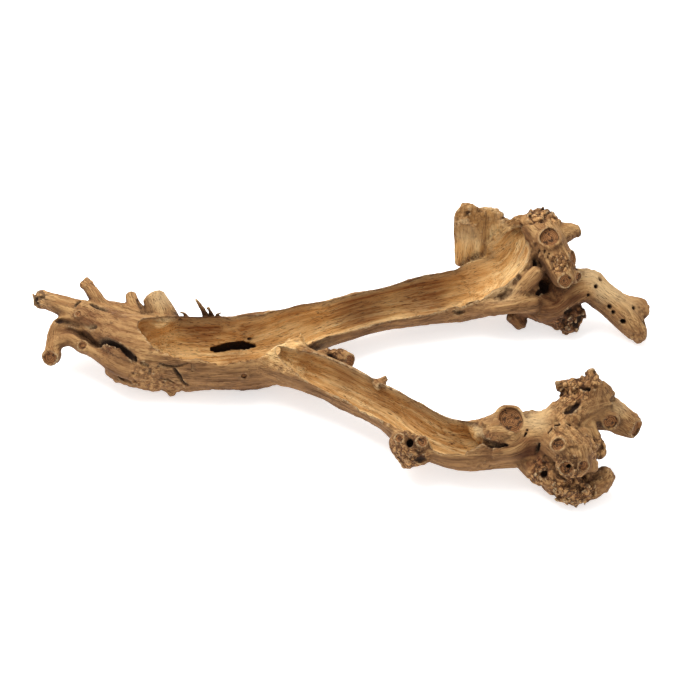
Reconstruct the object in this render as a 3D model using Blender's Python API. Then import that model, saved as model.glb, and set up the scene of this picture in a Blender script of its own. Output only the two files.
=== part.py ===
"""A dried root, cleaned down to the bare wood: a rotted-out hollow trunk that forks into two hollow arms, with
a claw of broken roots at one end and a gnarled head on the end of each arm.

Every length below is in millimetres in the row frame: +X runs from the claw to the heads, +Y to the back and
+Z up, with the origin on the surface the root lies on, under the middle of its box. Blender gets metres.

A limb is a list of stations along its middle line. A station is
(x, y, z, half width, half height, roll, lift): the width lies level and square to the line, roll turns the
section about the line in degrees (positive lowers the front edge), and lift slides the section up its own
height (1 stands it on the line). Roll and lift may be left out.
"""

import math

import bpy
import bmesh
from mathutils import Matrix, Vector

MM = 0.001
SIDES = 20  # points round a limb
RING_GAP = 6.0  # distance between the rings of a limb
CAP_RINGS = 3  # rings that close a rounded end
CAP_BULGE = 0.6  # how far a rounded end stands out, as a share of the limb's half width
FUSE_GRID = 3.0  # grid that fuses overlapping limbs into one skin
SKIN_GRID = 2.4  # grid of the finished skin
SMOOTHING = 3  # smoothing passes over the finished skin
LUMP_DEPTH = 3.0  # swellings and dents of the weathered wood
LUMP_SIZE = 22.0  # distance between them
TRIANGLES = 9000  # what the finished skin is simplified to
FLOOR_BLOCK = 60.0  # thickness of the block that planes the three feet flat, and its margin round the root
LENGTH, WIDTH = 730.0, 420.0  # footprint the floor block has to cover
WOOD_COLOUR = (0.48, 0.30, 0.15, 1.0)  # bare, dry, golden-brown wood
WOOD_ROUGHNESS = 0.8

CORE = {
    "snout": [
        (-356, 92, 66, 9, 9), (-342, 89, 64, 10, 11), (-323, 80, 62, 13, 13), (-299, 68, 60, 17, 17),
        (-275, 51, 56, 23, 24), (-248, 34, 50, 31, 33), (-222, 24, 45, 36, 38),
    ],
    "trunk": [
        (-259, 29, 47, 26, 30), (-239, 24, 45, 34, 38), (-205, 22, 43, 40, 44), (-159, 22, 42, 42, 45),
        (-113, 22, 43, 41, 44), (-67, 27, 44, 36, 40),
    ],
    "back_arm": [
        (-107, 34, 44, 37, 37), (-50, 62, 41, 31, 31), (-4, 84, 41, 27, 29), (43, 104, 40, 25, 27),
        (91, 119, 40, 28, 31), (133, 130, 41, 30, 34), (169, 141, 43, 31, 34), (199, 150, 48, 28, 32),
    ],
    "back_head": [
        (160, 140, 43, 30, 33), (195, 148, 54, 33, 34), (216, 161, 74, 28, 28), (228, 177, 92, 20, 20),
    ],
    "front_arm": [
        (-93, 12, 46, 26, 32), (-49, -9, 46, 25, 27), (-3, -37, 45, 24, 27), (42, -70, 44, 24, 28),
        (74, -101, 43, 25, 29), (107, -124, 40, 26, 28), (140, -132, 38, 27, 29), (173, -130, 38, 26, 28),
        (206, -126, 42, 27, 31), (234, -130, 48, 30, 35),
    ],
    "saddle": [(182, 167, 80, 14, 14), (204, 177, 97, 14, 14), (226, 179, 106, 15, 14)],
}

# What has rotted away: the top of each limb down to its rims, then a trough along its heart. Both follow the
# limb's own middle line, rolled towards the front and lifted off it.
ROTTED = {
    "top_of_trunk": [
        (-238, 24, 45, 80, 50, 4, 1.5), (-205, 22, 43, 80, 50, 6, 1.42), (-113, 22, 43, 80, 50, 8, 1.4),
        (-50, 62, 41, 70, 50, 20, 1.26), (-4, 84, 41, 60, 50, 28, 1.25), (67, 112, 40, 60, 50, 28, 1.25),
        (127, 128, 41, 60, 50, 22, 1.3), (160, 137, 43, 50, 45, 14, 1.55), (186, 145, 50, 30, 36, 8, 2),
    ],
    "trough_of_trunk": [
        (-220, 27, 44, 14, 20, 4, 1), (-200, 24, 43, 26, 34, 6, 0.55), (-159, 22, 42, 34, 40, 6, 0.45),
        (-113, 22, 43, 34, 40, 8, 0.45), (-50, 62, 42, 26, 34, 20, 0.5), (-4, 84, 41, 20, 31, 28, 0.5),
        (67, 112, 40, 19, 30, 28, 0.5), (127, 128, 41, 23, 32, 22, 0.5), (160, 139, 46, 25, 32, 12, 0.6),
        (188, 151, 62, 23, 28, 0, 0.8), (206, 165, 88, 16, 22, 0, 0.8), (219, 173, 112, 11, 14, 0, 0.8),
    ],
    "top_of_front_arm": [
        (-46, -10, 46, 20, 20, 24, 2.2), (-24, -23, 46, 60, 50, 26, 1.3), (-3, -37, 45, 60, 50, 26, 1.26),
        (55, -81, 44, 60, 50, 26, 1.26), (107, -124, 40, 60, 50, 22, 1.28), (140, -132, 38, 44, 44, 14, 1.4),
        (160, -132, 38, 24, 30, 6, 1.9),
    ],
    "trough_of_front_arm": [
        (-58, -4, 46, 8, 12, 20, 1), (-36, -16, 46, 15, 24, 26, 0.55), (-3, -37, 45, 18, 27, 26, 0.5),
        (55, -81, 43, 18, 27, 26, 0.5), (107, -124, 40, 19, 27, 22, 0.45), (140, -132, 38, 20, 25, 10, 0.45),
        (168, -130, 40, 12, 14, 0, 0.8),
    ],
}

GROWTHS = {
    "slab": [(160, 174, 52, 26, 9), (161, 181, 88, 30, 9), (162, 187, 118, 31, 8)],
    "slab_corner": [(147, 186, 108, 13, 8), (150, 190, 124, 13, 7)],
    "finger_left": [(-299, 105, 76, 6, 6), (-291, 91, 73, 8, 8), (-278, 75, 66, 8, 8), (-259, 63, 58, 10, 10)],
    "shoulder": [(-289, 82, 62, 8, 8), (-265, 77, 60, 12, 12), (-238, 62, 57, 16, 16)],
    "finger_right": [(-246, 89, 74, 6, 6), (-239, 75, 69, 6, 6), (-228, 62, 60, 9, 9)],
    "thumb": [(-217, 74, 80, 15, 10), (-214, 66, 72, 17, 13), (-209, 58, 60, 20, 16)],
    "hook": [(-337, 32, 34, 8, 8), (-337, 44, 42, 8, 8), (-334, 56, 50, 7, 7), (-323, 64, 54, 8, 9),
             (-302, 57, 54, 11, 12)],
    "toe": [(-331, 42, 42, 6, 6), (-316, 45, 47, 7, 7), (-303, 34, 46, 8, 8), (-288, 22, 45, 8, 9),
            (-268, 16, 40, 11, 12), (-242, 8, 38, 18, 20)],
    "hook_web": [(-329, 52, 44, 5, 5), (-316, 53, 48, 6, 6)],
    "belly": [(-266, 12, 32, 9, 10), (-251, 10, 27, 15, 16), (-220, 8, 26, 24, 22)],
    "stem": [(228, 178, 108, 18, 17), (240, 154, 105, 21, 20), (250, 132, 92, 17, 17), (260, 112, 78, 13, 14)],
    "burl_top": [(221, 181, 109, 8, 7), (235, 180, 115, 12, 9), (250, 170, 113, 9, 8)],
    "horn": [(248, 164, 100, 15, 15), (264, 170, 108, 12, 12), (275, 171, 110, 7, 8), (280, 168, 108, 3, 4)],
    "leg": [(257, 127, 48, 20, 20), (287, 138, 52, 19, 19), (310, 125, 42, 17, 17), (330, 112, 30, 17, 17),
            (344, 98, 17, 13, 15), (347, 88, 10, 7, 9)],
    "leg_knob": [(337, 118, 34, 12, 12), (353, 118, 34, 10, 10), (358, 113, 32, 6, 7)],
    "root_end": [(219, 131, 42, 28, 28), (246, 126, 30, 23, 24), (270, 116, 17, 18, 19)],
    "arch": [(239, 116, 36, 13, 13), (259, 117, 38, 11, 11), (283, 126, 46, 12, 12)],
    "web": [(220, 151, 60, 16, 18), (250, 151, 60, 14, 18)],
    "block": [(195, 121, 50, 10, 10), (210, 126, 60, 10, 11), (223, 136, 70, 9, 9)],
    "ledge": [(145, 117, 40, 6, 6), (173, 111, 40, 9, 9), (207, 116, 42, 12, 12)],
    "burl": [(156, -122, 50, 17, 14), (173, -125, 56, 21, 18), (184, -128, 60, 20, 17)],
    "knot": [(63, -129, 42, 14, 14), (76, -138, 38, 18, 18), (89, -138, 38, 14, 14)],
    "knot_foot": [(72, -140, 28, 7, 7), (69, -147, 22, 4, 4)],
    "spike": [(270, -111, 84, 13, 12), (272, -104, 104, 10, 9), (271, -94, 116, 6, 5)],
    "lobe_up": [(237, -128, 66, 24, 22), (260, -112, 76, 24, 24), (280, -103, 74, 20, 22)],
    "lobe_right": [(274, -106, 68, 22, 22), (296, -106, 62, 19, 19), (316, -114, 50, 14, 15)],
    "crest": [(265, -104, 84, 9, 9), (249, -101, 86, 9, 8), (238, -101, 80, 6, 6)],
    "face": [(236, -148, 62, 22, 22), (248, -165, 60, 22, 20), (253, -175, 48, 20, 17)],
    "finger_down": [(270, -133, 60, 9, 9), (275, -147, 52, 7, 7), (278, -155, 45, 5, 5)],
    "base": [(221, -149, 30, 20, 20), (237, -166, 22, 20, 19), (255, -178, 16, 18, 18),
             (281, -172, 19, 15, 14), (291, -168, 24, 10, 9)],
    "heel": [(205, -149, 30, 14, 12), (217, -157, 18, 12, 12)],
    "fork_stub": [(-38, 14, 36, 14, 14), (-14, 21, 33, 13, 13), (3, 26, 28, 12, 11)],
}

# Holes and clefts, and the short blocks that leave the ends of the stubs sawn flat.
HOLLOWS = {
    "hole_in_floor": [(-156, 45, 32, 3, 3), (-142, 45, 26, 5, 12), (-116, 45, 26, 5, 12), (-102, 45, 32, 3, 3)],
    "cleft_under_claw": [(-297, 39, 52, 3, 3), (-284, 29, 52, 4, 7), (-264, 17, 48, 5, 8), (-246, 7, 44, 3, 3)],
    "crack_under_snout": [(-336, 57, 66, 4, 4), (-320, 54, 62, 3, 5), (-296, 47, 62, 2, 2)],
    "pit_by_finger": [(-289, 69, 76, 5, 7), (-281, 63, 66, 4, 6)],
    "hollow_in_block": [(214, 115, 74, 4, 6), (208, 120, 60, 4, 6)],
    "hollow_under_stem": [(244, 115, 66, 9, 9), (240, 139, 58, 10, 12)],
    "hollow_in_lobe": [(244, -127, 90, 7, 8), (246, -119, 70, 7, 8)],
    "hollow_in_root_end": [(290, 103, 8, 9, 9), (268, 111, 20, 9, 10)],
    "sawn_hook": [(-337, 31, 33, 14, 14), (-336, 21, 26, 16, 16)],
    "sawn_lobe": [(324, -117, 46, 22, 22), (340, -123, 38, 22, 22)],
    "sawn_stem": [(262, 107, 74, 18, 18), (266, 93, 64, 20, 20)],
    "sawn_finger": [(-246, 97, 80, 10, 10), (-250, 107, 86, 12, 12)],
}


def curve(p, q, r, s, t):
    """A Catmull-Rom curve's value between q and r, at share t."""
    return q + 0.5 * t * (r - p + t * (2 * p - 5 * q + 4 * r - s + t * (3 * q - p - 3 * r + s)))


def along(stations):
    """Stations on a smooth curve through the given ones, about RING_GAP apart."""
    full = [list(s) + [0.0] * (7 - len(s)) for s in stations]
    path = []
    for i, (a, b) in enumerate(zip(full, full[1:])):
        before, after = full[max(i - 1, 0)], full[min(i + 2, len(full) - 1)]
        count = max(1, round(math.dist(a[:3], b[:3]) / RING_GAP))
        for k in range(count):
            path.append([curve(p, q, r, s, k / count) for p, q, r, s in zip(before, a, b, after)])
    return path + [full[-1]]


def add_limb(bm, stations, rounded):
    """Adds a closed tube of elliptic rings along the stations, its two ends rounded off or left flat."""
    path = along(stations)
    points = [Vector(s[:3]) for s in path]
    last = len(path) - 1
    cap = [math.sin(math.pi / 2 * (k + 1) / CAP_RINGS) for k in range(CAP_RINGS)] if rounded else []
    side = Vector()
    rings = []
    for i, (_x, _y, _z, half_width, half_height, roll, lift) in enumerate(path):
        line = (points[min(i + 1, last)] - points[max(i - 1, 0)]).normalized()
        side = side if i else line.cross(Vector((0, 0, 1)))
        side = (side - line * side.dot(line)).normalized()
        turn = Matrix.Rotation(math.radians(roll), 3, line)
        across, over = turn @ side, turn @ side.cross(line)
        levels = [-c for c in reversed(cap)] + [0.0] if i == 0 else [0.0]
        levels += cap if i == last else []
        for level in levels:
            share = max(0.05, math.sqrt(1 - level * level))
            centre = points[i] + over * half_height * lift
            centre += line * level * CAP_BULGE * min(half_width, half_height)
            wide, high = across * half_width * share, over * half_height * share
            angles = [2 * math.pi * n / SIDES for n in range(SIDES)]
            ring = [centre + wide * math.cos(a) + high * math.sin(a) for a in angles]
            rings.append([bm.verts.new(point * MM) for point in ring])
    for a, b in zip(rings, rings[1:]):
        for n in range(SIDES):
            m = (n + 1) % SIDES
            bm.faces.new((a[n], a[m], b[m], b[n]))
    bm.faces.new(rings[0][::-1])
    bm.faces.new(rings[-1])


def add_mesh(name, bm, helper):
    bmesh.ops.recalc_face_normals(bm, faces=bm.faces)
    mesh = bpy.data.meshes.new(name)
    bm.to_mesh(mesh)
    bm.free()
    obj = bpy.data.objects.new(name, mesh)
    bpy.context.scene.collection.objects.link(obj)
    if helper:
        obj.hide_render = True
        obj.display_type = "WIRE"
    return obj


def limbs(name, group, rounded=True, helper=True):
    """One object holding all the limbs of a group, fused into one skin."""
    bm = bmesh.new()
    for stations in group.values():
        add_limb(bm, stations, rounded)
    obj = add_mesh(name, bm, helper)
    fuse(obj, FUSE_GRID)
    return obj


def fuse(obj, grid):
    modifier = obj.modifiers.new("fuse", "REMESH")
    modifier.mode = "VOXEL"
    modifier.voxel_size = grid * MM
    modifier.use_smooth_shade = True


def combine(obj, other, operation):
    modifier = obj.modifiers.new(other.name, "BOOLEAN")
    modifier.operation = operation
    modifier.object = other
    modifier.solver = "EXACT"


def weather(obj):
    """Softens the fused skin and gives it the swellings and dents of old wood."""
    modifier = obj.modifiers.new("worn", "SMOOTH")
    modifier.factor = 0.5
    modifier.iterations = SMOOTHING
    lumps = bpy.data.textures.new("lumps", "CLOUDS")
    lumps.noise_scale = LUMP_SIZE * MM
    lumps.noise_depth = 1
    modifier = obj.modifiers.new("lumps", "DISPLACE")
    modifier.texture = lumps
    modifier.texture_coords = "LOCAL"
    modifier.strength = LUMP_DEPTH * MM
    modifier.mid_level = 0.5


def simplify(obj, triangles):
    graph = bpy.context.evaluated_depsgraph_get()
    skin = obj.evaluated_get(graph).to_mesh()
    skin.calc_loop_triangles()
    modifier = obj.modifiers.new("simplify", "DECIMATE")
    modifier.ratio = triangles / len(skin.loop_triangles)
    modifier.use_collapse_triangulate = True
    obj.evaluated_get(graph).to_mesh_clear()


def dry_wood():
    material = bpy.data.materials.new("dry_wood")
    material.use_nodes = True
    shader = material.node_tree.nodes["Principled BSDF"]
    shader.inputs["Base Color"].default_value = WOOD_COLOUR
    shader.inputs["Roughness"].default_value = WOOD_ROUGHNESS
    shader.inputs["Metallic"].default_value = 0.0
    return material


def floor_block():
    """The block under z = 0: it planes the belly, the root end and the base of the front head to one level."""
    bm = bmesh.new()
    bmesh.ops.create_cube(bm, size=1.0)
    size = (LENGTH + 2 * FLOOR_BLOCK, WIDTH + 2 * FLOOR_BLOCK, FLOOR_BLOCK)
    for vert in bm.verts:
        vert.co = Vector((vert.co.x * size[0], vert.co.y * size[1], (vert.co.z - 0.5) * size[2])) * MM
    return add_mesh("floor_block", bm, helper=True)


def main():
    for obj in list(bpy.data.objects):
        bpy.data.objects.remove(obj, do_unlink=True)
    root = limbs("root", CORE, helper=False)
    combine(root, limbs("rotted", ROTTED), "DIFFERENCE")
    combine(root, limbs("growths", GROWTHS), "UNION")
    combine(root, limbs("hollows", HOLLOWS, rounded=False), "DIFFERENCE")
    fuse(root, SKIN_GRID)
    weather(root)
    simplify(root, TRIANGLES)
    root.data.materials.append(dry_wood())
    combine(root, floor_block(), "DIFFERENCE")


main()
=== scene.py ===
"""Dried forked root of bare, weathered wood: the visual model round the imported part.

Lengths are in millimetres in the row frame (+X from the claw to the heads, +Y to the back, +Z up), and only
the finished mesh is turned into metres. The wood is worked out as a field of signed distances: limbs are
grown into it, the rotten heart and the clefts are carved out of it, and its zero surface becomes the mesh.
"""

import math

import bpy
import numpy as np
import openvdb
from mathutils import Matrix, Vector


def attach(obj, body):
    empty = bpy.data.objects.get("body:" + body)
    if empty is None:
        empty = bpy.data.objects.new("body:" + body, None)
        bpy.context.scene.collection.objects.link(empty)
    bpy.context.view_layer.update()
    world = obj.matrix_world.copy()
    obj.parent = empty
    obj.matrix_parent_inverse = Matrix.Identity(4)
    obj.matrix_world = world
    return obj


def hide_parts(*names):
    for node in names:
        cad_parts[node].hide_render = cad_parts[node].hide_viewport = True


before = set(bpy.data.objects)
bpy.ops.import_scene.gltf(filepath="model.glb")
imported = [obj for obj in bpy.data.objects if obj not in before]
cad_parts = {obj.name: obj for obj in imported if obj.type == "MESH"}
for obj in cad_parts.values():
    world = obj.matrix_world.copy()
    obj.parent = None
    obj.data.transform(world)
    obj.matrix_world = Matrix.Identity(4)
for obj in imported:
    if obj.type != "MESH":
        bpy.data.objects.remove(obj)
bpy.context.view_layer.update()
NODE = "root"

MM = 0.001
CELL = 1.25  # grid the wood is worked out on
SURFACE_TRIANGLES = 196000
LOW = (-372.0, -207.0, -4.0)  # corners of the block of grid cells
HIGH = (372.0, 207.0, 140.0)
AIR = 30.0  # field value far from any wood
REACH = 8.0  # how far round a limb the field is worked out
WANDER = 1.3  # by how much limbs wander off their smooth lines
CAP = 0.7  # how far a limb's rounded end stands out, as a share of its smaller half width

# The fillet where limbs meet, and the rounding of the lips of what is carved out.
CORE_FILLET = 8.0
GROWTH_FILLET = 5.0
SPLINTER_FILLET = 3.0
TROUGH_LIP = 1.5
HOLLOW_LIP = 1.0

SKIN = 6.0  # depth on each side of the surface that is roughened
LUMPS = ((0.9, 24.0, 1), (0.5, 11.0, 2))  # the height, spacing and seed of each size of lump
GRAIN_MARGIN = 14.0  # how far round a limb its grain may reach
GRAIN_BLEND = 6.0  # over how much distance the grain of one limb gives way to the next
# Distances used to probe for painted occlusion shade: the more wood stands in front of a place, the darker
# it is painted.
OCCLUSION_PROBES = (3.0, 6.0, 11.0)  # distances at which wood in front of a place shelters it
MOTTLED_SLAB = (162, 184, 104)  # middle of the mottled wood on the upright slab
MOTTLED_REACH = (60.0, 30.0)  # where the mottling ends and where it is full

# A station of a limb is (x, y, z, half width, half height, roll, rim): the width lies level and square to
# the limb, roll turns the section about the limb in degrees (positive lowers its front edge), and rim is
# how high above the middle line the limb has broken or rotted off, where it has.
WHOLE = 99.0  # a rim above any limb: nothing missing

CORE = {
    "snout": [(-356, 92, 66, 9, 9), (-342, 89, 64, 10, 11), (-323, 80, 62, 13, 13), (-299, 68, 60, 17, 17),
        (-275, 51, 56, 23, 24), (-248, 34, 50, 31, 33), (-222, 24, 45, 36, 38, 0, 30)],
    "trunk": [(-259, 29, 47, 26, 30, 0, 40), (-239, 24, 45, 34, 38, 4, 32), (-205, 22, 43, 40, 44, 6, 28),
        (-159, 22, 42, 42, 45, 8, 27), (-113, 22, 43, 41, 44, 8, 27), (-67, 27, 44, 36, 40, 8, 26)],
    "back_arm": [(-107, 34, 44, 37, 37, 8, 24), (-50, 62, 41, 31, 31, 20, 17), (-4, 84, 41, 27, 29, 28, 15),
        (43, 104, 40, 25, 27, 28, 15), (91, 119, 40, 28, 31, 24, 17), (133, 130, 41, 30, 34, 22, 20),
        (169, 141, 43, 31, 34, 12, 34), (199, 150, 48, 28, 32, 8, 60)],
    "back_head": [(160, 140, 43, 30, 33), (195, 148, 54, 33, 34), (216, 161, 74, 28, 28),
        (228, 177, 92, 20, 20)],
    "front_arm": [(-93, 12, 46, 26, 32, 20, 19), (-49, -9, 46, 25, 27, 24, 18),
        (-3, -37, 45, 24, 27, 26, 15), (42, -70, 44, 24, 28, 26, 15), (74, -101, 43, 25, 29, 24, 16),
        (107, -124, 40, 26, 28, 22, 17), (140, -132, 38, 27, 29, 14, 21), (173, -130, 38, 26, 28, 6, 40),
        (206, -126, 42, 27, 31, 0, 60), (234, -130, 48, 30, 35, 0, 90)],
    "saddle": [(182, 167, 80, 14, 14), (204, 177, 97, 14, 14), (226, 179, 106, 15, 14)],
}

# The rotted-out heart. A station here is (x, y, z, half width, half depth, roll, lift), lift being how far
# the trough's middle lies above the limb's, as a share of its half depth.
TROUGHS = {
    "trunk_trough": [(-232, 30, 48, 14, 20, 4, 1), (-210, 26, 44, 26, 32, 6, 0.6),
        (-184, 23, 42, 33, 38, 6, 0.45), (-159, 22, 42, 34, 40, 6, 0.45), (-113, 22, 43, 33, 40, 8, 0.45),
        (-50, 62, 41, 26, 34, 20, 0.5), (-4, 84, 41, 21, 31, 28, 0.5), (67, 112, 40, 21, 30, 28, 0.5),
        (127, 128, 41, 25, 33, 22, 0.5), (160, 139, 46, 27, 33, 12, 0.6), (188, 151, 62, 25, 30, 0, 0.8),
        (206, 165, 88, 17, 23, 0, 0.8), (219, 173, 112, 11, 14, 0, 0.8)],
    "bowl_lip": [(158, 126, 60, 12, 14, 0, 0), (184, 132, 72, 17, 15, 0, 0), (202, 141, 88, 14, 14, 0, 0),
        (212, 152, 104, 8, 10, 0, 0)],
    "bowl_fade": [(140, 146, 76, 8, 10, 0, 0), (158, 152, 80, 13, 14, 0, 0), (180, 157, 90, 14, 15, 0, 0),
        (202, 163, 104, 12, 14, 0, 0)],
    "front_arm_trough": [(-88, 6, 62, 3, 5, 10, 0.5), (-62, -4, 52, 9, 14, 20, 0.7),
        (-36, -16, 46, 16, 25, 26, 0.55), (-3, -37, 45, 19, 27, 26, 0.5), (55, -81, 43, 19, 27, 26, 0.5),
        (107, -124, 40, 20, 27, 22, 0.45), (140, -132, 38, 21, 25, 10, 0.45),
        (172, -130, 40, 12, 14, 0, 0.8)],
}

GROWTHS = {
    "slab": [(160, 176, 52, 26, 8), (161, 182, 88, 30, 8), (162, 187, 112, 31, 8), (162, 189, 120, 26, 7)],
    "slab_corner": [(147, 187, 110, 12, 8), (149, 190, 127, 12, 7)],
    "finger_left": [(-301, 107, 76, 7, 6), (-292, 92, 73, 8, 8), (-278, 75, 66, 8, 8),
        (-259, 63, 58, 10, 10)],
    "shoulder": [(-289, 82, 62, 8, 8), (-265, 77, 60, 12, 12), (-238, 62, 57, 16, 16)],
    "finger_right": [(-247, 90, 73, 7, 7), (-242, 76, 69, 7, 7), (-230, 62, 60, 9, 9)],
    "thumb": [(-218, 74, 80, 14, 11), (-213, 66, 72, 17, 14), (-208, 58, 60, 20, 16)],
    "hook": [(-337, 30, 34, 7, 7), (-337, 42, 42, 7, 7), (-335, 56, 51, 6, 7), (-323, 64, 54, 8, 9),
        (-302, 57, 54, 11, 12)],
    "toe": [(-331, 40, 43, 6, 6), (-316, 42, 47, 6, 7), (-303, 32, 46, 7, 8), (-288, 20, 45, 7, 8),
        (-267, 5, 43, 8, 9), (-246, -4, 40, 10, 12), (-228, 0, 38, 14, 16)],
    "hook_web": [(-331, 53, 44, 7, 8), (-312, 49, 43, 9, 8), (-296, 38, 40, 8, 8), (-280, 28, 36, 8, 8)],
    "toe_web": [(-298, 40, 38, 6, 8), (-272, 22, 34, 10, 12), (-246, 10, 32, 16, 16)],
    "belly": [(-264, 10, 30, 10, 10), (-248, 6, 26, 14, 14), (-220, 8, 26, 24, 22)],
    "rear_shoot": [(-206, 66, 60, 8, 8), (-200, 62, 66, 6, 6)],
    "stem": [(228, 178, 108, 18, 17), (240, 154, 105, 21, 20), (250, 132, 92, 17, 17),
        (259, 112, 80, 13, 14)],
    "burl_top": [(219, 178, 110, 8, 7), (233, 180, 118, 12, 9), (252, 170, 115, 9, 8)],
    "crown_edge": [(190, 181, 106, 7, 7), (208, 180, 112, 7, 7), (222, 176, 114, 8, 8)],
    "horn": [(248, 164, 100, 15, 15), (264, 169, 107, 11, 11), (276, 171, 108, 6, 7),
        (281, 166, 107, 2, 3)],
    "leg": [(257, 127, 48, 20, 20), (287, 138, 52, 19, 19), (310, 125, 42, 17, 17), (330, 112, 30, 17, 17),
        (345, 97, 17, 12, 14), (350, 86, 9, 5, 7)],
    "leg_knob": [(337, 118, 34, 12, 12), (352, 118, 34, 10, 10), (357, 110, 31, 6, 7)],
    "root_end": [(219, 131, 42, 28, 28), (246, 126, 30, 23, 24), (272, 114, 17, 18, 19)],
    "arch": [(236, 108, 32, 12, 12), (252, 104, 38, 9, 10), (268, 112, 47, 9, 9), (288, 126, 50, 12, 12)],
    "web": [(220, 151, 60, 16, 18), (250, 151, 60, 14, 18)],
    "block": [(200, 112, 50, 9, 9), (213, 117, 65, 9, 10), (228, 122, 84, 8, 8)],
    "block_fin": [(226, 128, 66, 5, 7), (232, 128, 78, 4, 6)],
    "ledge": [(145, 114, 38, 7, 7), (173, 107, 42, 9, 9), (200, 104, 46, 10, 10), (222, 110, 46, 12, 12)],
    "rear_foot": [(202, 120, 20, 13, 10), (212, 115, 10, 10, 8)],
    "burl": [(142, -112, 50, 8, 7), (156, -122, 52, 19, 15), (172, -125, 57, 23, 18),
        (186, -128, 60, 21, 17)],
    "burl_root": [(200, -134, 56, 14, 12), (186, -146, 50, 12, 12), (166, -150, 46, 10, 10)],
    "knot": [(63, -129, 42, 14, 14), (76, -138, 38, 18, 18), (89, -138, 38, 14, 14)],
    "knot_foot": [(72, -140, 28, 7, 7), (69, -147, 22, 4, 4)],
    "spike": [(267, -111, 84, 15, 12), (270, -104, 104, 11, 9), (269, -95, 113, 5, 5)],
    "spike_flank": [(285, -104, 88, 12, 12), (279, -104, 102, 7, 8)],
    "lobe_up": [(237, -128, 66, 24, 22), (260, -112, 76, 22, 22), (280, -103, 74, 20, 22)],
    "lobe_right": [(274, -106, 68, 22, 22), (296, -106, 62, 18, 18), (318, -114, 51, 12, 13)],
    "crest": [(267, -100, 88, 10, 10), (250, -98, 94, 8, 9), (239, -99, 94, 4, 6)],
    "face": [(236, -148, 62, 22, 22), (248, -165, 60, 21, 20), (252, -176, 48, 18, 16)],
    "face_shoot": [(236, -158, 68, 10, 10), (232, -168, 74, 8, 8)],
    "finger_down": [(268, -133, 66, 9, 9), (276, -143, 55, 7, 7), (280, -152, 45, 5, 5)],
    "finger_mid": [(258, -146, 68, 9, 9), (266, -161, 56, 9, 9), (270, -173, 42, 7, 7)],
    "base": [(221, -149, 30, 20, 20), (237, -166, 22, 20, 19), (255, -176, 16, 18, 18),
        (279, -170, 19, 14, 14), (287, -165, 26, 11, 10)],
    "heel": [(205, -149, 30, 14, 12), (215, -158, 20, 11, 11)],
    "fork_stub": [(-36, 14, 34, 13, 13), (-14, 21, 33, 12, 12), (0, 26, 28, 11, 10)],
    "arm_shoot": [(38, -54, 60, 6, 5), (48, -48, 64, 4, 4)],
    "low_shoot": [(-200, 0, 14, 9, 8), (-197, -6, 6, 5, 5)],
}

# Broken fibres that still stand on the rims.
SPLINTERS = {
    "splinter_a": [(-157, 60, 58, 4, 4), (-161, 60, 72, 2.4, 3), (-166, 60, 85, 2, 2),
        (-169, 60, 91, 1.6, 1.2)],
    "splinter_b": [(-152, 61, 58, 4, 4), (-153, 62, 69, 2, 3), (-156, 62, 77, 1.4, 1.4)],
    "splinter_c": [(-144, 62, 60, 4, 4), (-146, 61, 68, 2, 2), (-142, 60, 71, 1.4, 1.4)],
    "splinter_d": [(238, -101, 92, 4, 4), (234, -100, 102, 2, 2)],
    "splinter_e": [(-182, 60, 64, 3, 3), (-184, 60, 70, 1.4, 1.6), (-188, 59, 72, 1.2, 1.2)],
    "splinter_f": [(-96, 68, 58, 3, 3), (-92, 69, 64, 1.4, 1.4), (-86, 70, 66, 1.2, 1.2)],
}

# Knots and scars: (x, y, z) of the face's middle, the way it looks, and its radius.
SCARS = {
    "hook_end": (-337, 24, 34, -0.15, -0.9, 0.4, 8.5),
    "toe_knob": (-299, 24, 52, 0.1, -0.7, 0.7, 5),
    "snout_eye": (-304, 55, 74, 0.1, -0.4, 0.9, 3.5),
    "stem_scar": (240, 139, 120, -0.15, -0.6, 0.79, 12),
    "stem_end": (259, 100, 86, 0.15, -0.9, 0.4, 8),
    "stem_side": (266, 127, 99, 0.85, -0.35, 0.4, 8.5),
    "stem_low_side": (274, 108, 84, 0.75, -0.55, 0.35, 6),
    "leg_crown": (272, 134, 72, -0.3, -0.3, 0.9, 5),
    "burl_face": (183, -129, 73, 0.1, -0.5, 0.85, 16),
    "lobe_scar": (292, -127, 70, 0.1, -0.93, 0.35, 8.5),
    "lobe_end": (321, -120, 53, 0.8, -0.55, 0.15, 10.5),
    "face_shoot_end": (231, -172, 78, -0.25, -0.6, 0.75, 7.5),
    "face_end_left": (241, -189, 58, -0.1, -0.9, 0.4, 7.5),
    "face_end_right": (259, -187, 60, 0.25, -0.9, 0.35, 6),
    "ring_knob": (87, -143, 56, 0.2, -0.5, 0.85, 6),
    "left_knob": (62, -139, 56, -0.3, -0.4, 0.87, 5),
    "stub_end": (7, 22, 30, 0.7, -0.6, 0.35, 8),
    "trunk_knot": (-113, -18, 43, 0.0, -1.0, 0.1, 4),
}

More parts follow.
